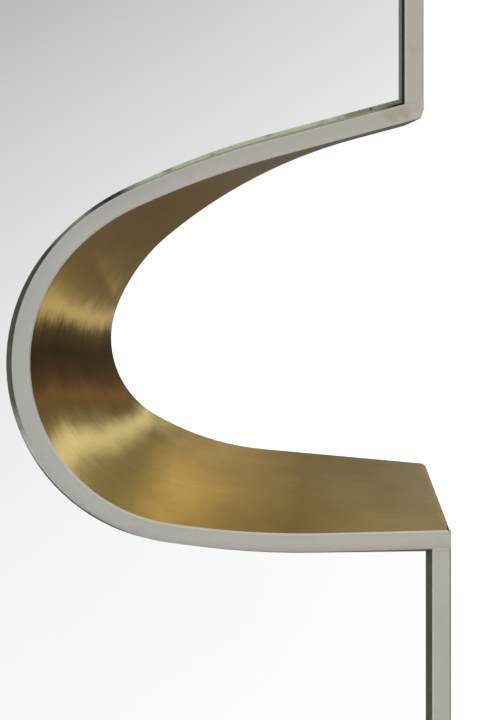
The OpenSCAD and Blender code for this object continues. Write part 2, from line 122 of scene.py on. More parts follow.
def clear():
    if bpy.context.object and bpy.context.object.mode != "OBJECT":
        bpy.ops.object.mode_set(mode="OBJECT")
    bpy.ops.object.select_all(action="DESELECT")


def pick(obj):
    clear()
    obj.select_set(True)
    bpy.context.view_layer.objects.active = obj


def give_name(obj, name):
    obj.name = name
    obj.data.name = name


def apply_place():
    bpy.ops.object.transform_apply(location=True, rotation=True, scale=True)


def finish_mesh(obj, smooth=SMOOTH):
    """Welds the points, turns all faces outward and smooths below the given angle."""
    pick(obj)
    apply_place()
    bpy.ops.object.mode_set(mode="EDIT")
    bpy.ops.mesh.select_all(action="SELECT")
    bpy.ops.mesh.remove_doubles(threshold=NEAR)
    bpy.ops.mesh.normals_make_consistent(inside=False)
    bpy.ops.object.mode_set(mode="OBJECT")
    bpy.ops.object.shade_smooth_by_angle(angle=radians(smooth))
    return obj


def modify(obj, kind, **values):
    pick(obj)
    m = obj.modifiers.new(kind.title(), kind)
    for key, value in values.items():
        setattr(m, key, value)
    bpy.ops.object.modifier_apply(modifier=m.name)


def cut_away(obj, cutter):
    modify(obj, "BOOLEAN", object=cutter, operation="DIFFERENCE", solver="EXACT")
    bpy.data.objects.remove(cutter)


def new_piece(name):
    """An empty mesh, open for editing."""
    clear()
    bpy.ops.mesh.primitive_plane_add(size=1)
    obj = bpy.context.object
    give_name(obj, name)
    bpy.ops.object.mode_set(mode="EDIT")
    bpy.ops.mesh.select_mode(type="VERT")
    bpy.ops.mesh.select_all(action="SELECT")
    bpy.ops.mesh.delete(type="VERT")
    return obj


def start_at(x, y, z):
    bpy.ops.mesh.primitive_plane_add(size=SPECK, location=(x, y, z))
    bpy.ops.mesh.merge(type="CENTER")


def push(dx=0.0, dy=0.0, dz=0.0):
    bpy.ops.mesh.extrude_region_move(TRANSFORM_OT_translate={"value": (dx, dy, dz)})


def pick_edges(obj, test):
    """Selects the visible edges that pass the test."""
    bpy.ops.mesh.select_mode(type="EDGE")
    bpy.ops.mesh.select_all(action="DESELECT")
    bm = bmesh.from_edit_mesh(obj.data)
    for e in bm.edges:
        if not e.hide and test(e):
            e.select_set(True)
    bmesh.update_edit_mesh(obj.data)


def pick_faces(obj, test):
    """Selects the visible faces whose corners all pass the test."""
    bpy.ops.mesh.select_mode(type="FACE")
    bpy.ops.mesh.select_all(action="DESELECT")
    bm = bmesh.from_edit_mesh(obj.data)
    for f in bm.faces:
        if not f.hide and all(test(v.co) for v in f.verts):
            f.select_set(True)
    bmesh.update_edit_mesh(obj.data)


def mid(e):
    """The middle of an edge, in steps of FINE."""
    a, b = e.verts[0].co, e.verts[1].co
    return tuple(round((p + q) / 2 * FINE, 1) for p, q in zip(a, b))


def lies_at(e, y):
    return all(abs(v.co.y - y) < NEAR for v in e.verts)


# The bay

def bends_of(line):
    """The bends of a line, with the last one turning as far as the upper arm's rise."""
    heading = line[1]
    bends = []
    for radius, turn in line[3]:
        turn = heading - ARM_RISE if turn is None else turn
        bends.append((radius, turn))
        heading -= turn
    return bends


def arm_end(line):
    """Height at which a bay line reaches the upper arm's end."""
    z, heading, straight, _ = line
    h = radians(heading)
    x, z = X_LOW + straight * cos(h), z + straight * sin(h)
    for radius, turn in bends_of(line):
        g = h - radians(turn)
        x, z = x + radius * (sin(h) - sin(g)), z - radius * (cos(h) - cos(g))
        h = g
    return z + (X_UP - x) * sin(h) / cos(h)


def draw_line(line, aside, y, x_low, x_up):
    """A bay line moved away from the bay: extruded along the runs, spun round the bends."""
    z0, heading, straight, _ = line
    h = radians(heading)
    start = (x_low - X_LOW) / cos(h)
    x, z = x_low, z0 + start * sin(h) + aside / cos(h)
    bpy.ops.mesh.select_mode(type="VERT")
    bpy.ops.mesh.select_all(action="DESELECT")
    start_at(x, y, z)
    ex = X_LOW + straight * cos(h) - aside * sin(h)
    ez = z0 + straight * sin(h) + aside * cos(h)
    for _ in range(RUN_STEPS):
        push(dx=(ex - x) / RUN_STEPS, dz=(ez - z) / RUN_STEPS)
    x, z = ex, ez
    for (radius, turn), steps in zip(bends_of(line), BEND_STEPS):
        h, r = radians(heading), radius + aside
        cx, cz = x + r * sin(h), z - r * cos(h)
        bpy.ops.mesh.spin(steps=steps, angle=radians(-turn), center=(cx, y, cz), axis=(0, 1, 0))
        heading -= turn
        h = radians(heading)
        x, z = cx - r * sin(h), cz + r * cos(h)
    dx, dz = x_up - x, (x_up - x) * sin(h) / cos(h)
    for _ in range(RUN_STEPS):
        push(dx=dx / RUN_STEPS, dz=dz / RUN_STEPS)


def tube(obj, t_in, t_out, x_low, x_up, cuts):
    """An open ribbon between two distances from the bay lines, bridged from front to back."""
    lanes, seen = [], set()
    for line, aside, y in ((FRONT_LINE, t_in, Y_FRONT), (BACK_LINE, t_in, Y_BACK),
                           (BACK_LINE, t_out, Y_BACK), (FRONT_LINE, t_out, Y_FRONT)):
        draw_line(line, aside, y, x_low, x_up)
        lanes.append({mid(e) for e in bmesh.from_edit_mesh(obj.data).edges if not e.hide} - seen)
        seen |= lanes[-1]
    for k in range(4):
        both = lanes[k] | lanes[(k + 1) % 4]
        pick_edges(obj, lambda e: mid(e) in both)
        bpy.ops.mesh.bridge_edge_loops(number_cuts=0 if k % 2 else cuts, interpolation="LINEAR")


def cut_at_lip(away):
    """Cuts the open ribbon behind the lip and takes away what lies behind (1) or in front (-1)."""
    bpy.ops.mesh.select_all(action="SELECT")
    bpy.ops.mesh.bisect(plane_co=(0, Y_LIP, 0), plane_no=(0, away, 0), clear_outer=True,
                        threshold=NEAR)


def close_ribbon(obj, x_low, x_up):
    """Closes the ribbon where it was cut at the lip, and at the ends of both arms."""
    pick_edges(obj, lambda e: e.is_boundary and lies_at(e, Y_LIP))
    bpy.ops.mesh.bridge_edge_loops()
    for x in (x_low, x_up):
        pick_edges(obj, lambda e: e.is_boundary and abs(mid(e)[0] / FINE - x) < 2 / FINE)
        bpy.ops.mesh.edge_face_add()


def grind_off(obj, at, way, size):
    """Takes away what a block covers, whose near face stands at a point and looks against way."""
    clear()
    way = Vector(way).normalized()
    bpy.ops.mesh.primitive_cube_add(size=1, location=Vector(at) + way * size[2] / 2, scale=size,
                                    rotation=Vector((0, 0, 1)).rotation_difference(way).to_euler())
    cut_away(obj, bpy.context.object)


def grind_ends(obj):
    """Grinds the corner of the upper arm and rounds the back corner of the lower arm."""
    bpy.ops.mesh.select_all(action="SELECT")
    bpy.ops.mesh.normals_make_consistent(inside=False)
    bpy.ops.object.mode_set(mode="OBJECT")
    grind_off(obj, (X_UP - CORNER_IN / 2, 0, ARM_END + CORNER_UP / 2), (CORNER_UP, 0, -CORNER_IN),
              CORNER_BLOCK)
    for a in map(radians, ROUND_AT):
        x, y = X_LOW - ROUND_IN * (1 - cos(a)), Y_BACK - ROUND_RUN * (1 - sin(a))
        grind_off(obj, (x, y, BACK_LINE[0]), (cos(a) / ROUND_IN, sin(a) / ROUND_RUN, 0), ROUND_BLOCK)


ARM_END = arm_end(FRONT_LINE)


def bay_bar():
    """The bar round the bay: a lip in front and a thinner body behind it, in one piece."""
    obj = new_piece("bay_bar")
    tube(obj, 0, WRAP_T, X_LOW, X_UP, BAND_CUTS)
    cut_at_lip(1)
    bpy.ops.mesh.select_all(action="SELECT")
    bpy.ops.mesh.hide()
    tube(obj, SKIN_T, WRAP_T, X_LOW, X_UP, BAND_CUTS)
    cut_at_lip(-1)
    bpy.ops.mesh.reveal()
    bpy.ops.mesh.select_all(action="SELECT")
    bpy.ops.mesh.remove_doubles(threshold=2 * NEAR)
    close_ribbon(obj, X_LOW, X_UP)
    pick_edges(obj, lambda e: lies_at(e, Y_FRONT) and e.calc_face_angle(0) > 1
               and abs(e.verts[0].co.x - e.verts[1].co.x) > NEAR)
    bpy.ops.mesh.bevel(offset=ARRIS, segments=2, affect="EDGES")
    grind_ends(obj)
    return finish_mesh(obj)


def brass_lining():
    """The brass skin behind the lip, with its front corner snipped at the lower arm's end."""
    obj = new_piece("brass_lining")
    low, up = X_LOW - SKIN_MARGIN, X_UP - SKIN_MARGIN
    tube(obj, 0, SKIN_T, low, up, SKIN_CUTS)
    cut_at_lip(-1)
    close_ribbon(obj, low, up)
    grind_ends(obj)
    grind_off(obj, (X_LOW - SNIP_IN / 2, Y_FRONT + SNIP_RUN / 2, FRONT_LINE[0]),
              (SNIP_RUN, -SNIP_IN, 0), SNIP_BLOCK)
    return finish_mesh(obj)


# Hangers, bumpers and screws on the back

def wire_ring(name, x):
    """One wire: a straight side at the top, two tight corners and a half circle below."""
    obj = new_piece(name)
    flat = RING_HALF - RING_BEND

    def bend(steps, turn, cx, drop):
        bpy.ops.mesh.spin(steps=steps, angle=-turn, center=(cx, LOOP_Y, LOOP_Z - drop),
                          axis=(0, 1, 0))

    bpy.ops.mesh.primitive_circle_add(vertices=WIRE_SIDES, radius=WIRE / 2, rotation=(0, pi / 2, 0),
                                      location=(x - flat, LOOP_Y, LOOP_Z))
    bpy.ops.mesh.select_mode(type="EDGE")
    push(dx=2 * flat)
    bend(CORNER_STEPS, pi / 2, x + flat, RING_BEND)
    push(dz=-RING_SIDE)
    bend(BOW_STEPS, pi, x, RING_BEND + RING_SIDE)
    push(dz=RING_SIDE)
    bend(CORNER_STEPS, pi / 2, x - flat, RING_BEND)
    bpy.ops.object.mode_set(mode="OBJECT")
    return finish_mesh(obj, SMOOTH_WIRE)


def folded_strap(name, x):
    """A flat strap that goes up behind the bar and folds forward over the ring."""
    obj = new_piece(name)
    reach = LOOP_Y - HANG_Y - STRAP_T / 2
    start_at(x - STRAP_W / 2, LOOP_Y - reach, LOOP_Z - STRAP_L)
    push(dx=STRAP_W)
    bpy.ops.mesh.select_mode(type="EDGE")
    bpy.ops.mesh.select_all(action="SELECT")
    push(dz=STRAP_L - FOLD_EASE)
    push(dy=FOLD_R * cos(FOLD_FROM) + reach, dz=FOLD_R * sin(FOLD_FROM) + FOLD_EASE)
    bpy.ops.mesh.spin(steps=FOLD_STEPS, angle=FOLD_TURN, center=(x, LOOP_Y, LOOP_Z), axis=(1, 0, 0))
    bpy.ops.object.mode_set(mode="OBJECT")
    finish_mesh(obj)
    modify(obj, "SOLIDIFY", thickness=STRAP_T, offset=0.0)
    modify(obj, "BEVEL", width=STRAP_SOFT, segments=2, limit_method="ANGLE",
           angle_limit=radians(SMOOTH_WIRE))
    return finish_mesh(obj, SMOOTH_SMALL)


def rubber_bumper(name, x):
    """A turned rubber bumper with a rounded rim and a well for its screw."""
    obj = new_piece(name)
    rim = [(BUMPER_R - BUMPER_RIM * (1 - cos(a)), BUMPER_H - BUMPER_RIM * (1 - sin(a)))
           for a in map(radians, RIM_AT)]
    path = [(BORE_R, 0.0), (BUMPER_R, 0.0), *rim, (WELL_R + WELL_SOFT, BUMPER_H),
            (WELL_R, BUMPER_H - WELL_SOFT), (WELL_R, SEAT), (BORE_R, SEAT), (BORE_R, 0.0)]
    start_at(x + BORE_R, HANG_Y, BUMPER_Z)
    for (r0, h0), (r1, h1) in zip(path, path[1:]):
        push(dx=r1 - r0, dy=h1 - h0)
    bpy.ops.mesh.select_all(action="SELECT")
    bpy.ops.mesh.spin(steps=TURNED_STEPS, angle=2 * pi, center=(x, HANG_Y, BUMPER_Z), axis=(0, 1, 0))
    bpy.ops.object.mode_set(mode="OBJECT")
    return finish_mesh(obj, SMOOTH_TURNED)


def screw(name, where, radius, height, shank_r, shank):
    """A round-topped screw with a crossed recess, its head towards the wall."""
    x, y, z = where
    clear()
    bpy.ops.mesh.primitive_cylinder_add(vertices=SCREW_SIDES, radius=radius, depth=height,
                                        location=(x, y + height / 2, z), rotation=(pi / 2, 0, 0))
    obj = bpy.context.object
    give_name(obj, name)
    apply_place()
    bpy.ops.object.mode_set(mode="EDIT")
    pick_edges(obj, lambda e: all(v.co.y > y + height - NEAR for v in e.verts))
    bpy.ops.mesh.bevel(offset=height * DOME, segments=DOME_STEPS, affect="EDGES")
    pick_faces(obj, lambda co: co.y < y + NEAR)
    bpy.ops.mesh.inset(thickness=radius - shank_r)
    push(dy=-shank)
    bpy.ops.mesh.bevel(offset=shank_r * TIP, segments=2, affect="EDGES")
    bpy.ops.object.mode_set(mode="OBJECT")
    for a in (pi / 4, -pi / 4):
        clear()
        bpy.ops.mesh.primitive_cube_add(
            size=1, location=(x, y + height, z), rotation=(0, a, 0),
            scale=(radius * RECESS_LONG, height * RECESS_DEEP, radius * RECESS_WIDE))
        cut_away(obj, bpy.context.object)
    return finish_mesh(obj, SMOOTH_SMALL)


def copied(obj, name, shift):
    pick(obj)
    bpy.ops.object.duplicate()
    new = bpy.context.object
    give_name(new, name)
    bpy.ops.transform.translate(value=shift)
    apply_place()
    return new


def screw_set(name, form, places):
    """One screw, copied to the other places and joined into one piece."""
    first = screw(name, places[0], *form)
    rest = [copied(first, name, tuple(b - a for a, b in zip(places[0], where))) for where in places[1:]]
    pick(first)
    for other in rest:
        other.select_set(True)
    bpy.ops.object.join()
    give_name(first, name + "_set")
    return first


# Shader nodes

def material(name):
    m = bpy.data.materials.new(name)
    m.use_nodes = True
    return m, m.node_tree, m.node_tree.nodes["Principled BSDF"]


def node(nt, kind, **values):
    n = nt.nodes.new(kind)
    for key, value in values.items():
        setattr(n, key, value)
    return n


def link(nt, value, socket):
    """Sets a socket to a plain value or joins it to another node."""
    if isinstance(value, tuple):
        socket.default_value = (*value, 1) if socket.type == "RGBA" else value
    elif isinstance(value, (int, float)):
        socket.default_value = value
    else:
        nt.links.new(value, socket)


def calc(nt, op, *values):
    n = node(nt, "ShaderNodeMath", operation=op)
    for socket, value in zip(n.inputs, values):
        link(nt, value, socket)
    return n.outputs[0]


def plus(nt, a, b):
    return calc(nt, "ADD", a, b)


def minus(nt, a, b):
    return calc(nt, "SUBTRACT", a, b)


def times(nt, a, b):
    return calc(nt, "MULTIPLY", a, b)


def distance(nt, a, b):
    return calc(nt, "SQRT", plus(nt, times(nt, a, a), times(nt, b, b)))


def ramp(nt, fac, stops):
    r = node(nt, "ShaderNodeValToRGB")
    elements = r.color_ramp.elements
    while len(elements) < len(stops):
        elements.new(0.5)
    for element, (position, colour) in zip(elements, stops):
        element.position = position
        element.color = (*colour, 1)
    nt.links.new(fac, r.inputs["Fac"])
    return r.outputs["Color"]


def span(nt, fac, a, b, lo=0.0, hi=1.0, smooth=False):
    """What goes from lo to hi while the given value goes from a to b."""
    m = node(nt, "ShaderNodeMapRange")
    if smooth:
        m.interpolation_type = "SMOOTHSTEP"
    for label, value in (("Value", fac), ("From Min", a), ("From Max", b), ("To Min", lo), ("To Max", hi)):
        link(nt, value, m.inputs[label])
    return m.outputs["Result"]


def mix(nt, fac, a, b, how="MIX"):
    m = node(nt, "ShaderNodeMix", data_type="RGBA", blend_type=how)
    for socket, value in ((m.inputs["Factor"], fac), (m.inputs[6], a), (m.inputs[7], b)):
        link(nt, value, socket)
    return m.outputs[2]


def tint(nt, col, mask, share, tone):
    """A colour with another laid over it where a mask is, at a share of the mask."""
    return mix(nt, times(nt, mask, share), col, tone)


def bump(nt, height, bsdf, strength, depth, normal=None):
    b = node(nt, "ShaderNodeBump")
    b.inputs["Strength"].default_value = strength
    b.inputs["Distance"].default_value = depth
    nt.links.new(height, b.inputs["Height"])
    if normal:
        nt.links.new(normal, b.inputs["Normal"])
    nt.links.new(b.outputs["Normal"], bsdf.inputs["Normal"])


def parts_of(nt, vector):
    sep = node(nt, "ShaderNodeSeparateXYZ")
    nt.links.new(vector, sep.inputs["Vector"])
    return sep.outputs


def on_piece(nt):
    return node(nt, "ShaderNodeTexCoord").outputs["Object"]


def place(nt):
    """Where a point lies on its piece: x, y and z in metres."""
    return parts_of(nt, on_piece(nt))


def facing(nt):
    """The way that a surface looks: x, y and z."""
    return parts_of(nt, node(nt, "ShaderNodeNewGeometry").outputs["Normal"])


# Effects that the finishes share

def effect(name, values, result):
    g = bpy.data.node_groups.new(name, "ShaderNodeTree")
    for label, value in values.items():
        g.interface.new_socket(label, in_out="INPUT", socket_type="NodeSocketFloat").default_value = value
    g.interface.new_socket(result, in_out="OUTPUT", socket_type="NodeSocketFloat")
    return g, node(g, "NodeGroupInput").outputs, node(g, "NodeGroupOutput").inputs[result]


def noise(nt, vector, scale, cast, detail, rough, distort=0.0):
    n = node(nt, "ShaderNodeTexNoise", noise_dimensions="4D")
    for label, value in (("Vector", vector), ("Scale", scale), ("W", cast), ("Detail", detail),
                         ("Roughness", rough), ("Distortion", distort)):
        link(nt, value, n.inputs[label])
    return n.outputs["Fac"]


def patches_effect():
    g, given, out = effect("patches", {"Per Metre": 40.0, "Cast": 0.0, "From": 0.4, "To": 0.6}, "Mask")
    cloud = noise(g, on_piece(g), given["Per Metre"], given["Cast"], 4.0, 0.55, 0.3)
    link(g, span(g, cloud, given["From"], given["To"], smooth=True), out)
    return g


def grain_effect():
    g, given, out = effect("grain", {"Per Metre": 900.0, "Cast": 0.0}, "Height")
    link(g, noise(g, on_piece(g), given["Per Metre"], given["Cast"], 3.0, 0.6), out)
    return g


def brush_effect():
    scales = {"Along": 14.0, "Across": 1900.0, "Upward": 14.0}
    g, given, out = effect("brush_lines", {**scales, "Cast": 0.0}, "Lines")
    size, spread = node(g, "ShaderNodeCombineXYZ"), node(g, "ShaderNodeVectorMath", operation="MULTIPLY")
    for label, side in (("Along", "X"), ("Across", "Y"), ("Upward", "Z")):
        link(g, given[label], size.inputs[side])
    link(g, on_piece(g), spread.inputs[0])
    link(g, size.outputs[0], spread.inputs[1])
    link(g, noise(g, spread.outputs[0], 1.0, given["Cast"], 6.0, 0.62), out)
    return g


PATCHES, GRAIN, BRUSH = patches_effect(), grain_effect(), brush_effect()


def use(nt, group, **values):
    n = node(nt, "ShaderNodeGroup", node_tree=group)
    for label, value in values.items():
        n.inputs[label.replace("_", " ")].default_value = value
    return n.outputs[0]


def patches(nt, per_metre, cast, a, b):
    return use(nt, PATCHES, Per_Metre=per_metre, Cast=cast, From=a, To=b)


def grain(nt, per_metre, cast=0.0):
    return use(nt, GRAIN, Per_Metre=per_metre, Cast=cast)


def brush(nt, along, across, upward, cast=0.0):
    return use(nt, BRUSH, Along=along, Across=across, Upward=upward, Cast=cast)


def sway(nt, fac, size):
    """A noise turned into a swing of a given size about nought."""
    return times(nt, minus(nt, fac, 0.5), size)


def stroke(nt, at, a, b, half, soft):
    """A mask along the straight line from a to b in the plane of the front."""
    length = hypot(b[0] - a[0], b[1] - a[1])
    ux, uz = (b[0] - a[0]) / length, (b[1] - a[1]) / length
    x, z = minus(nt, at["X"], a[0]), minus(nt, at["Z"], a[1])
    along = plus(nt, times(nt, x, ux), times(nt, z, uz))
    off = calc(nt, "ABSOLUTE", minus(nt, times(nt, x, uz), times(nt, z, ux)))
    near = span(nt, off, half, half + soft, 1.0, 0.0, smooth=True)
    past = calc(nt, "ABSOLUTE", minus(nt, along, length / 2))
    return times(nt, near, span(nt, past, length / 2 - soft, length / 2 + soft, 1.0, 0.0, smooth=True))


def spot(nt, at, x, z, wide, high):
    """A soft round mask about a place in the plane of the front."""
    dx = calc(nt, "DIVIDE", minus(nt, at["X"], x), wide)
    dz = calc(nt, "DIVIDE", minus(nt, at["Z"], z), high)
    return span(nt, plus(nt, times(nt, dx, dx), times(nt, dz, dz)), 0.0, 1.0, 1.0, 0.0, smooth=True)


# Marks on the front, by their places in the view. A step in the view is PX wide on the front.
PX = 0.34 * MM
VIEW_X, VIEW_Y = 451.3, 531.5  # where the lower stile's side and the bay's lower corner are seen


def at_px(px, py):
    return X_LOW + (px - VIEW_X) * PX, FRONT_LINE[0] + (VIEW_Y - py) * PX


WELD_UP = (at_px(406, 103.3), at_px(417, 103.0))
WELD_LOW = (at_px(433, 551), at_px(450, 551))
RUB_MARK = (*at_px(398, 114), 7 * MM, 3.5 * MM)
SCRATCH = (at_px(36.5, 317), at_px(39.5, 330))
CHIP_MARK = (*at_px(111, 199), 6 * MM, 5 * MM)
SPLITS = ((at_px(369, 105), at_px(375, 112)), (at_px(344, 120), at_px(367, 112.5)))
FLECK = (*at_px(342, 117.8), 0.9 * MM, 1.1 * MM)
GLASS_Y = min(v.co.y for v in NODES["mirror_glass"].data.vertices)

# Tones of the brass, and how they vary along the lower arm from the bend to its end
BRASS_LINES = [(0.32, (0.56, 0.41, 0.15)), (0.68, (0.70, 0.53, 0.205))]
BRASS_BROAD, BRASS_CLOUD, BRASS_NICK = (0.54, 0.385, 0.14), (0.52, 0.41, 0.19), (0.95, 0.76, 0.40)
BRASS_END, BRASS_SCRATCH = (0.80, 0.60, 0.26), (0.95, 0.74, 0.34)
PATINA, BLACK, UNCHANGED = (0.27, 0.265, 0.23), (0.0, 0.0, 0.0), (1.0, 1.0, 1.0)
LOWER_ARM_SPAN, LOWER_ARM_DRIFT = (93 * MM, 225 * MM), 40 * MM
LOWER_ARM_TONES = [
    (0.0, (0.92, 0.90, 0.84)), (0.10, (0.84, 0.85, 0.74)), (0.18, (0.86, 0.86, 0.73)),
    (0.25, (1.32, 1.28, 1.16)), (0.31, (1.24, 1.20, 1.08)), (0.42, (0.84, 0.81, 0.69)),
    (0.62, (0.47, 0.47, 0.42)), (0.70, (0.52, 0.54, 0.55)), (0.78, (0.62, 0.67, 0.76)),
    (1.0, (0.96, 1.03, 1.34))]
# How far the skin curls towards the back, in degrees, by the way that it looks
CURL_MOST, CURL_EDGE = 20, 0.17 * FRAME_D
CURL = ((-70, 0), (-20, 6), (-8, 8.5), (0, 10), (15, 12.5), (28, 16), (40, 20), (52, 20), (63, 18),
        (72, 7), (80, 0))


def brushed_brass():
    m, nt, bsdf = material("brushed_brass")
    bsdf.inputs["Metallic"].default_value = 1.0
    at, way = place(nt), facing(nt)
    lines = use(nt, BRUSH)
    broad = brush(nt, 9.0, 150.0, 9.0, 3.0)
    cloud = patches(nt, 34.0, 1.7, 0.42, 0.72)
    nicks = brush(nt, 70.0, 1300.0, 70.0, 9.0)
    col = ramp(nt, lines, BRASS_LINES)
    col = mix(nt, span(nt, broad, 0.42, 0.68, 0.0, 0.35), col, BRASS_BROAD)
    col = tint(nt, col, cloud, 0.35, BRASS_CLOUD)
    col = mix(nt, span(nt, nicks, 0.70, 0.76, 0.0, 0.5), col, BRASS_NICK)
    # Along the lower arm the brass is multiplied brighter by the bend, darker further out and olive at its
    # end
    drift = sway(nt, grain(nt, 26.0, 7.0), LOWER_ARM_DRIFT)
    arm_tone = ramp(nt, span(nt, plus(nt, at["X"], drift), *LOWER_ARM_SPAN), LOWER_ARM_TONES)
    arm_tone = mix(nt, span(nt, at["Z"], 325 * MM, 345 * MM, smooth=True), arm_tone, UNCHANGED)
    col = mix(nt, 1.0, col, arm_tone, "MULTIPLY")
    bright_end = times(nt, span(nt, at["X"], 227.2 * MM, 228.8 * MM, 0.0, 0.6, smooth=True),
                       span(nt, at["Z"], 330 * MM, 340 * MM, 1.0, 0.0))
    col = mix(nt, bright_end, col, BRASS_END)
    # The end of the upper arm has a grey patina, and painted shade darkens it further; by the front runs a
    # fine scratch
    patina = times(nt, span(nt, at["X"], 170 * MM, 200 * MM, 0.0, 0.85, smooth=True),
                   span(nt, at["Z"], 430 * MM, 440 * MM))
    col = mix(nt, patina, col, PATINA)
    # Painted shade: the underside of the upper arm is darkened towards black from here to its end
    shade = times(nt, span(nt, at["X"], 150 * MM, 168 * MM, 0.0, 0.26, smooth=True),
                  span(nt, at["Z"], 425 * MM, 435 * MM, smooth=True))
    col = mix(nt, shade, col, BLACK)
    scratch = times(nt, stroke(nt, at, *SCRATCH, 0.08 * MM, 0.22 * MM),
                    span(nt, at["Y"], Y_FRONT + 4 * MM, Y_FRONT + 9 * MM, 1.0, 0.0))
    col = tint(nt, col, scratch, 0.8, BRASS_SCRATCH)
    nt.links.new(col, bsdf.inputs["Base Color"])
    rough = plus(nt, span(nt, lines, 0.3, 0.7, 0.16, 0.26), times(nt, cloud, 0.03))
    nt.links.new(rough, bsdf.inputs["Roughness"])
    # The brushing follows the bay, and the shine is drawn out across it, from front to back
    bsdf.inputs["Anisotropic"].default_value = 0.82
    tangent = node(nt, "ShaderNodeCombineXYZ")
    tangent.inputs["Y"].default_value = 1.0
    nt.links.new(tangent.outputs["Vector"], bsdf.inputs["Tangent"])
    # The sheet curls a little more at the back than its edges tell, and it waves on the bend
    lean = span(nt, calc(nt, "ARCTAN2", way["Z"], way["X"]), -pi / 2, pi / 2)
    curl = ramp(nt, lean, [((a + 90) / 180, (v / CURL_MOST,) * 3) for a, v in CURL])
    back = span(nt, at["Y"], Y_FRONT + CURL_EDGE, Y_BACK - CURL_EDGE, 0.0, radians(CURL_MOST))
    wave = sway(nt, grain(nt, 75.0, 4.0), radians(8))
    ripple = sway(nt, brush(nt, 45.0, 600.0, 45.0, 6.0), radians(4.5))
    turn = node(nt, "ShaderNodeVectorRotate", rotation_type="Y_AXIS")
    nt.links.new(node(nt, "ShaderNodeNewGeometry").outputs["Normal"], turn.inputs["Vector"])
    nt.links.new(plus(nt, times(nt, curl, back), plus(nt, wave, ripple)), turn.inputs["Angle"])
    bump(nt, lines, bsdf, 0.10, 0.04 * MM, turn.outputs["Vector"])
    return m


# Tones of the satin bar. The filed front edge is paler and less metallic than the rest.
NICKEL_DARK, NICKEL_PALE = (0.455, 0.455, 0.425), (0.49, 0.485, 0.45)
NICKEL_WARM, NICKEL_STAIN = (0.50, 0.475, 0.405), (0.40, 0.375, 0.32)
SEAM, RUST, BLUED = (0.36, 0.33, 0.27), (0.34, 0.26, 0.18), (0.10, 0.12, 0.18)
LIP_BAY, LIP_STILE = (0.75, 0.755, 0.70), (0.58, 0.57, 0.52)


def satin_nickel():
    m, nt, bsdf = material("satin_nickel")
    at, way = place(nt), facing(nt)
    stain = patches(nt, 85.0, 2.1, 0.58, 0.76)
    fine = grain(nt, 1400.0)
    col = mix(nt, patches(nt, 30.0, 0.3, 0.35, 0.68), NICKEL_DARK, NICKEL_PALE)
    col = tint(nt, col, span(nt, at["X"], 60 * MM, 200 * MM, smooth=True), 0.7, NICKEL_WARM)
    col = tint(nt, col, stain, 0.35, NICKEL_STAIN)
    seam = calc(nt, "MAXIMUM", stroke(nt, at, *WELD_UP, 0.1 * MM, 0.5 * MM),
                stroke(nt, at, *WELD_LOW, 0.1 * MM, 0.4 * MM))
    col = tint(nt, col, seam, 0.35, SEAM)
    rust = times(nt, spot(nt, at, *RUB_MARK), patches(nt, 260.0, 4.0, 0.35, 0.6))
    col = tint(nt, col, rust, 0.45, RUST)
    # The filed edge looks forward. It is palest round the bay and greyer on the stiles.
    filed = times(nt, span(nt, way["Y"], -0.95, -0.80),
                  span(nt, at["Y"], Y_LIP - 0.1 * MM, Y_LIP + 0.1 * MM, 1.0, 0.0))
    filed = times(nt, filed, span(nt, at["X"], X_LOW - 1.2 * MM, X_LOW - 0.6 * MM, 1.0, 0.0))
    level = calc(nt, "MAXIMUM", span(nt, at["Z"], 330 * MM, 335 * MM),
                 span(nt, at["Z"], 310.5 * MM, 311.5 * MM, 1.0, 0.0))
    stile = times(nt, level, span(nt, at["X"], 213.2 * MM, 213.8 * MM))
    col = tint(nt, col, filed, 0.9, mix(nt, stile, LIP_BAY, LIP_STILE))
    nt.links.new(minus(nt, 1.0, times(nt, filed, 0.7)), bsdf.inputs["Metallic"])
    # At the lower arm's end the bar that the brass leaves bare is blue-black
    blued = times(nt, span(nt, at["X"], 227.8 * MM, 228.4 * MM), span(nt, way["Z"], 0.5, 0.7))
    blued = times(nt, blued, span(nt, at["Y"], Y_LIP - 0.2 * MM, Y_LIP + 0.1 * MM))
    col = tint(nt, col, blued, 0.9, BLUED)
    nt.links.new(col, bsdf.inputs["Base Color"])
    rough = plus(nt, span(nt, fine, 0.3, 0.7, 0.44, 0.52), times(nt, stain, 0.08))
    nt.links.new(rough, bsdf.inputs["Roughness"])
    bump(nt, plus(nt, fine, brush(nt, 60.0, 900.0, 60.0)), bsdf, 0.06, 0.03 * MM)
    return m


# Tones of the glass's ground edge, over the upper arm from left to right and round the bend upward
EDGE_OVER_X, EDGE_LOW_Z = (100 * MM, 220 * MM), (320 * MM, 420 * MM)
EDGE_OVER = [
    (0.02, (0.52, 0.60, 0.47)), (0.06, (0.14, 0.15, 0.12)), (0.11, (0.20, 0.20, 0.15)),
    (0.13, (0.11, 0.12, 0.095)), (0.20, (0.86, 0.94, 0.74)), (0.74, (0.96, 1.0, 0.78)),
    (0.80, (0.50, 0.47, 0.31)), (0.87, (0.50, 0.51, 0.38)), (0.93, (0.38, 0.44, 0.34))]
EDGE_LOW = [
    (0.0, (0.96, 0.97, 0.96)), (0.20, (0.92, 0.93, 0.91)), (0.38, (0.15, 0.165, 0.12)),
    (1.0, (0.12, 0.135, 0.09))]
RIM_DARK, RIM_PALE, EDGE_STILE = (0.12, 0.135, 0.10), (0.76, 0.765, 0.72), (0.18, 0.205, 0.16)
EDGE_DIRT, EDGE_RUST, EDGE_SMUT = (0.03, 0.035, 0.028), (0.26, 0.19, 0.12), (0.035, 0.025, 0.02)
SPLIT_DARK, FLECK_PALE = (0.09, 0.09, 0.05), (0.95, 0.96, 0.92)
SILVER_LOW, SILVER_HIGH = (0.895, 0.90, 0.90), (0.912, 0.912, 0.912)


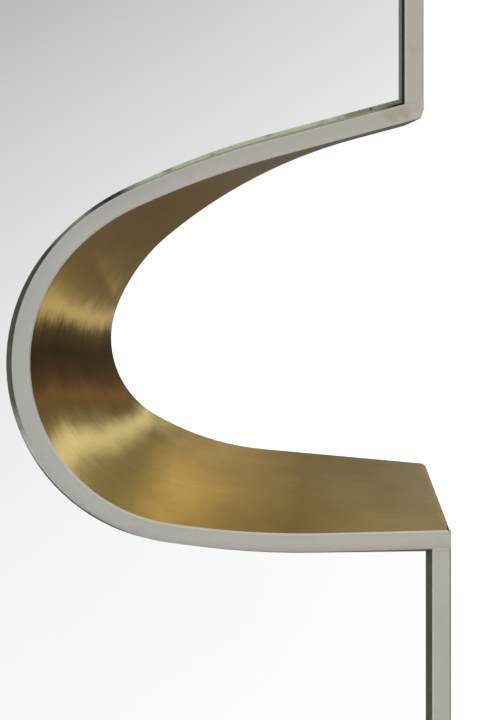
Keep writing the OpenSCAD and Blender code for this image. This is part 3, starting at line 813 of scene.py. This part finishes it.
def mirror_glass():
    """Silver on the faces and a ground edge: pale green above, olive at the bend, dark by the stiles."""
    m, nt, bsdf = material("mirror_glass")
    at, way = place(nt), facing(nt)
    face = span(nt, way["Y"], -0.97, -0.90, 1.0, 0.0)
    over = ramp(nt, span(nt, at["X"], *EDGE_OVER_X), EDGE_OVER)
    low = ramp(nt, span(nt, at["Z"], *EDGE_LOW_Z), EDGE_LOW)
    rim = span(nt, at["Y"], GLASS_Y + 0.24 * MM, GLASS_Y + 0.40 * MM)
    low = mix(nt, span(nt, at["Z"], 334 * MM, 351 * MM, 1.0, 0.0), low, mix(nt, rim, RIM_DARK, RIM_PALE))
    low = mix(nt, span(nt, at["X"], 190 * MM, 200 * MM), low, EDGE_STILE)
    edge = mix(nt, span(nt, at["Z"], 410 * MM, 422 * MM), low, over)
    edge = tint(nt, edge, patches(nt, 150.0, 3.1, 0.52, 0.68), 0.45, EDGE_DIRT)
    edge = tint(nt, edge, patches(nt, 60.0, 8.4, 0.60, 0.70), 0.6, EDGE_RUST)
    smut = times(nt, spot(nt, at, *CHIP_MARK), patches(nt, 210.0, 1.0, 0.42, 0.55))
    edge = tint(nt, edge, smut, 0.9, EDGE_SMUT)
    # Two splits and a pale fleck where the edge has chipped near the end of the upper arm
    for split in SPLITS:
        edge = tint(nt, edge, stroke(nt, at, *split, 0.15 * MM, 0.35 * MM), 0.75, SPLIT_DARK)
    edge = mix(nt, spot(nt, at, *FLECK), edge, FLECK_PALE)
    silver = mix(nt, patches(nt, 9.0, 0.0, 0.3, 0.7), SILVER_LOW, SILVER_HIGH)
    nt.links.new(mix(nt, face, edge, silver), bsdf.inputs["Base Color"])
    nt.links.new(face, bsdf.inputs["Metallic"])
    nt.links.new(span(nt, face, 0.0, 1.0, 0.35, 0.015), bsdf.inputs["Roughness"])
    return m


PASTE_DARK, PASTE_PALE = (0.010, 0.011, 0.010), (0.020, 0.022, 0.018)
GREEN_OVER, GREEN_BESIDE = (0.50, 0.55, 0.44), (0.13, 0.15, 0.11)


def black_bedding():
    """Dark paste, with green edge light from the glass over the bay and beside the lower stile."""
    m, nt, bsdf = material("black_bedding")
    at = place(nt)
    col = mix(nt, patches(nt, 160.0, 0.0, 0.3, 0.7), PASTE_DARK, PASTE_PALE)
    over = times(nt, span(nt, at["Z"], 400 * MM, 420 * MM), span(nt, at["X"], 203 * MM, 211 * MM, 1.0, 0.0))
    col = tint(nt, col, over, 0.85, GREEN_OVER)
    beside = times(nt, span(nt, at["Z"], 305 * MM, 308 * MM, 1.0, 0.0), span(nt, at["X"], 215 * MM, 220 * MM))
    col = tint(nt, col, beside, 0.7, GREEN_BESIDE)
    nt.links.new(col, bsdf.inputs["Base Color"])
    paste = grain(nt, 700.0)
    nt.links.new(span(nt, paste, 0.3, 0.7, 0.55, 0.7), bsdf.inputs["Roughness"])
    bump(nt, paste, bsdf, 0.2, 0.1 * MM)
    return m


PLY_T = 2.6 * MM
PLY_GRAIN = [(0.30, (0.42, 0.27, 0.14)), (0.52, (0.56, 0.39, 0.22)), (0.72, (0.64, 0.46, 0.28))]
PLY_FLAME, PLY_GLUE, PLY_SMUDGE = (0.45, 0.28, 0.15), (0.24, 0.14, 0.07), (0.36, 0.25, 0.15)


def plywood():
    """Upright grain on the faces and dark glue lines on the sides."""
    m, nt, bsdf = material("plywood")
    at, way = place(nt), facing(nt)
    fibres = brush(nt, 260.0, 40.0, 9.0, 2.0)
    flame = brush(nt, 34.0, 20.0, 3.0, 7.0)
    col = mix(nt, span(nt, flame, 0.48, 0.60, 0.0, 0.45), ramp(nt, fibres, PLY_GRAIN), PLY_FLAME)
    plies = calc(nt, "SINE", times(nt, at["Y"], 2 * pi / PLY_T))
    sides = span(nt, calc(nt, "ABSOLUTE", way["Y"]), 0.5, 0.7, 1.0, 0.0)
    col = mix(nt, times(nt, sides, span(nt, plies, -0.1, 0.3, 0.0, 0.65)), col, PLY_GLUE)
    col = tint(nt, col, patches(nt, 20.0, 5.0, 0.5, 0.75), 0.25, PLY_SMUDGE)
    nt.links.new(col, bsdf.inputs["Base Color"])
    nt.links.new(span(nt, fibres, 0.3, 0.7, 0.50, 0.66), bsdf.inputs["Roughness"])
    bump(nt, fibres, bsdf, 0.2, 0.2 * MM)
    return m


TONE_SPREAD, TONE_PITS, ROUGH_SPREAD = 0.12, 0.6, 0.06


def plain(name, colour, rough, metal=0.0):
    """An even finish with patches of tone and a fine grain."""
    m, nt, bsdf = material(name)
    bsdf.inputs["Metallic"].default_value = metal
    cloud, fine = patches(nt, 60.0, 0.0, 0.3, 0.7), grain(nt, 900.0)
    low, high, pits = (tuple(min(1, c * by) for c in colour)
                       for by in (1 - TONE_SPREAD, 1 + TONE_SPREAD, TONE_PITS))
    col = mix(nt, span(nt, fine, 0.45, 0.8, 0.0, 0.3), mix(nt, cloud, low, high), pits)
    nt.links.new(col, bsdf.inputs["Base Color"])
    nt.links.new(span(nt, cloud, 0.0, 1.0, rough - ROUGH_SPREAD, rough + ROUGH_SPREAD),
                 bsdf.inputs["Roughness"])
    bump(nt, fine, bsdf, 0.08, 0.1 * MM)
    return m


BRASS = brushed_brass()
NICKEL = satin_nickel()
GLASS = mirror_glass()
BEDDING = black_bedding()
MASTIC = plain("grey_mastic", (0.22, 0.22, 0.21), 0.7)
BOARD = plywood()
STEEL = plain("mill_steel", (0.42, 0.42, 0.42), 0.45, metal=1.0)
PAINT = plain("dark_paint", (0.05, 0.05, 0.055), 0.45)
ZINC = plain("zinc_plate", (0.62, 0.63, 0.64), 0.3, metal=1.0)
RUBBER = plain("bumper_rubber", (0.035, 0.035, 0.035), 0.7)


# Every solid gets its finish: the tabs are bare steel, and what isn't named is zinc-plated

def dress(obj, mat):
    obj.data.materials.clear()
    obj.data.materials.append(mat)


FINISHES = (
    (NICKEL, ("top_rail", "bottom_rail", "left_stile", "upper_right_stile", "lower_right_stile", "bay_band")),
    (BRASS, ("bay_skin",)),
    (GLASS, ("mirror_glass",)),
    (BEDDING, ("glass_bedding",)),
    (MASTIC, ("mastic_dabs",)),
    (BOARD, ("backing_board",)),
    (PAINT, ("hanging_bar", "bumper_bar")),
    (RUBBER, ("bumper_left", "bumper_right")))
finish_of = {name: finish for finish, names in FINISHES for name in names}
for name, obj in NODES.items():
    dress(obj, finish_of.get(name, STEEL if "_tab" in name else ZINC))


# The pieces that are drawn again

def settle(obj, mat, body, node_name):
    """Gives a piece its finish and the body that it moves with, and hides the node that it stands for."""
    dress(obj, mat)
    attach(obj, body)
    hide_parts(node_name)


settle(brass_lining(), BRASS, "mirror", "bay_skin")
settle(bay_bar(), NICKEL, "mirror", "bay_band")
for side, x in zip(("left", "right"), HANGER_X):
    settle(wire_ring("wire_ring_" + side, x), ZINC, "ring_" + side, "ring_" + side)
    settle(folded_strap("folded_strap_" + side, x), ZINC, "mirror", "strap_" + side)
for side, x in zip(("left", "right"), BUMPER_X):
    settle(rubber_bumper("rubber_bumper_" + side, x), RUBBER, "mirror", "bumper_" + side)
for name, form, places in (
        ("tab_screw", TAB_SCREW, [(x * MM, TAB_SCREW_Y, z * MM) for x, z in TAB_SCREW_XZ]),
        ("strap_screw", STRAP_SCREW, [(x, HANG_Y + STRAP_T, z) for x in HANGER_X for z in STRAP_SCREW_Z]),
        ("bumper_screw", BUMPER_SCREW, [(x, HANG_Y + SEAT, BUMPER_Z) for x in BUMPER_X])):
    settle(screw_set(name, form, places), ZINC, "mirror", name + "s")


# The stage. The camera's place was found from the bay's front and back lines in the photograph:
# it looks straight at the front from before EYE_PX in the view.
VIEW_W, VIEW_H = 480, 720
EYE_PX = (348, 194)
EYE_AWAY = 225 * MM
SENSOR = 36
FLOOR_SIZE, FLOOR_TONE, FLOOR_GLOW = 12, (0.8, 0.8, 0.79), 0.55

eye_x, eye_z = at_px(*EYE_PX)
cam_data = bpy.data.cameras.new("camera")
cam = bpy.data.objects.new("camera", cam_data)
bpy.context.scene.collection.objects.link(cam)
cam.location = (eye_x, Y_FRONT - EYE_AWAY, eye_z)
cam.rotation_euler = (pi / 2, 0, 0)
cam_data.sensor_width = SENSOR
cam_data.lens = SENSOR * (EYE_AWAY / PX) / VIEW_H
cam_data.shift_x = (VIEW_W / 2 - EYE_PX[0]) / VIEW_H
cam_data.shift_y = (EYE_PX[1] - VIEW_H / 2) / VIEW_H
cam_data.clip_start = 10 * MM
bpy.context.scene.camera = cam

clear()
bpy.ops.mesh.primitive_plane_add(size=FLOOR_SIZE, location=(0, 0, 0))
floor = bpy.context.object
floor.name = "floor"
floor.visible_glossy = False
floor_mat, floor_nt, floor_bsdf = material("pale_floor")
floor_bsdf.inputs["Base Color"].default_value = (*FLOOR_TONE, 1)
floor_bsdf.inputs["Roughness"].default_value = 0.9
floor_bsdf.inputs["Specular IOR Level"].default_value = 0.0
floor_bsdf.inputs["Emission Color"].default_value = (1, 1, 1, 1)
seen_floor = node(floor_nt, "ShaderNodeLightPath").outputs["Is Camera Ray"]
floor_nt.links.new(times(floor_nt, seen_floor, FLOOR_GLOW), floor_bsdf.inputs["Emission Strength"])
floor.data.materials.append(floor_mat)

# Behind the mirror the studio's tone goes by the angle, in degrees, round one way of looking,
# ROOM_EYE. Close round that way it stays dim, warm below and cooler above, and round a second way,
# CORNER_EYE, it is an even grey.
ROOM_EYE, DIM_FROM, DIM_TO = (-0.20, -0.21), 0.25, 0.38
ROOM = (
    (-180, (0.17, 0.16, 0.16)), (-70, (0.17, 0.165, 0.18)), (-44, (0.20, 0.17, 0.13)),
    (-35, (0.28, 0.25, 0.18)), (-29, (0.48, 0.43, 0.30)), (-23.5, (0.88, 0.80, 0.56)),
    (-20, (0.56, 0.50, 0.35)), (-16.5, (0.10, 0.09, 0.07)), (-5, (0.045, 0.038, 0.032)),
    (4, (0.075, 0.05, 0.045)), (9, (0.12, 0.08, 0.06)), (12, (0.22, 0.135, 0.10)),
    (14, (0.28, 0.165, 0.11)), (17, (0.18, 0.135, 0.095)), (21, (0.21, 0.175, 0.125)),
    (25, (0.32, 0.30, 0.24)), (29, (0.78, 0.78, 0.70)), (34, (1.20, 1.24, 1.20)),
    (38, (1.06, 1.08, 1.02)), (44, (0.58, 0.58, 0.52)), (50, (0.38, 0.37, 0.32)),
    (60, (0.40, 0.37, 0.29)), (70, (0.55, 0.49, 0.36)), (78, (0.60, 0.52, 0.37)),
    (86, (0.34, 0.31, 0.26)), (180, (0.17, 0.16, 0.16)))
DIM_WARM, DIM_COOL = (0.145, 0.112, 0.055), (0.165, 0.165, 0.20)
CORNER_EYE, CORNER_FROM, CORNER_TO = (0.09, -0.04), 0.12, 0.30
CORNER_TONE = (0.168, 0.16, 0.155)

# In front of the mirror the light grows softly towards the lower right, between a few panels:
# axis, where a panel begins, where it is full, and its tone
FRONT_SLOPE = 0.68
FRONT_FROM, FRONT_TO = -0.6, 0.8
FRONT_LIGHT = (
    (-0.6, 0.50), (-0.54, 0.555), (-0.45, 0.645), (-0.34, 0.735), (-0.2, 0.825), (-0.05, 0.91),
    (0.07, 0.965), (0.21, 1.015), (0.4, 1.05), (0.6, 1.08), (0.8, 1.10))
PANELS = (
    ("Z", 0.32, 0.5, (1.05, 1.05, 1.05)), ("Z", -0.62, -0.75, (0.70, 0.70, 0.70)),
    ("X", -0.55, -0.7, (1.05, 1.06, 1.07)), ("X", 0.5, 0.7, (0.40, 0.39, 0.37)))
FRONT_END, ROOM_START = -0.4, -0.1
MATT_LIGHT, BACKDROP = (0.72, 0.72, 0.72), (1.0, 1.0, 1.0)

world = bpy.data.worlds.new("studio")
bpy.context.scene.world = world
world.use_nodes = True
wnt = world.node_tree
way = parts_of(wnt, node(wnt, "ShaderNodeTexCoord").outputs["Generated"])
side, rise = minus(wnt, way["X"], ROOM_EYE[0]), minus(wnt, way["Z"], ROOM_EYE[1])
angle = span(wnt, calc(wnt, "ARCTAN2", rise, side), -pi, pi)
room = ramp(wnt, angle, [((a + 180) / 360, tone) for a, tone in ROOM])
dim = mix(wnt, span(wnt, way["Z"], -0.32, -0.08), DIM_WARM, DIM_COOL)
room = mix(wnt, span(wnt, distance(wnt, side, rise), DIM_FROM, DIM_TO, smooth=True), dim, room)
side, rise = minus(wnt, way["X"], CORNER_EYE[0]), minus(wnt, way["Z"], CORNER_EYE[1])
near_corner = span(wnt, distance(wnt, side, rise), CORNER_FROM, CORNER_TO, smooth=True)
room = mix(wnt, near_corner, CORNER_TONE, room)
slope = minus(wnt, times(wnt, way["X"], FRONT_SLOPE), way["Z"])
front = ramp(wnt, span(wnt, slope, FRONT_FROM, FRONT_TO),
             [((v - FRONT_FROM) / (FRONT_TO - FRONT_FROM), (c, c, c)) for v, c in FRONT_LIGHT])
for axis, a, b, tone in PANELS:
    front = mix(wnt, span(wnt, way[axis], a, b, smooth=True), front, tone)
seen = mix(wnt, span(wnt, way["Y"], FRONT_END, ROOM_START, smooth=True), front, room)
ray = node(wnt, "ShaderNodeLightPath").outputs
soft = mix(wnt, ray["Is Glossy Ray"], MATT_LIGHT, seen)
background = wnt.nodes["Background"]
wnt.links.new(mix(wnt, ray["Is Camera Ray"], soft, BACKDROP), background.inputs["Color"])
background.inputs["Strength"].default_value = 1.0

LAMP_AT, LAMP_AIM = Vector((-0.9, -1.1, 1.9)), Vector((0.0, 0.0, 0.36))
LAMP_SIZE, LAMP_POWER = 1.2, 14
lamp_data = bpy.data.lights.new("overhead_left", "AREA")
lamp_data.shape = "RECTANGLE"
lamp_data.size, lamp_data.size_y = LAMP_SIZE, LAMP_SIZE
lamp_data.energy = LAMP_POWER
lamp = bpy.data.objects.new("overhead_left", lamp_data)
lamp.location = LAMP_AT
lamp.rotation_euler = (LAMP_AIM - LAMP_AT).to_track_quat("-Z", "Y").to_euler()
lamp.visible_glossy = False
bpy.context.scene.collection.objects.link(lamp)

bpy.context.scene.view_settings.view_transform = "Standard"
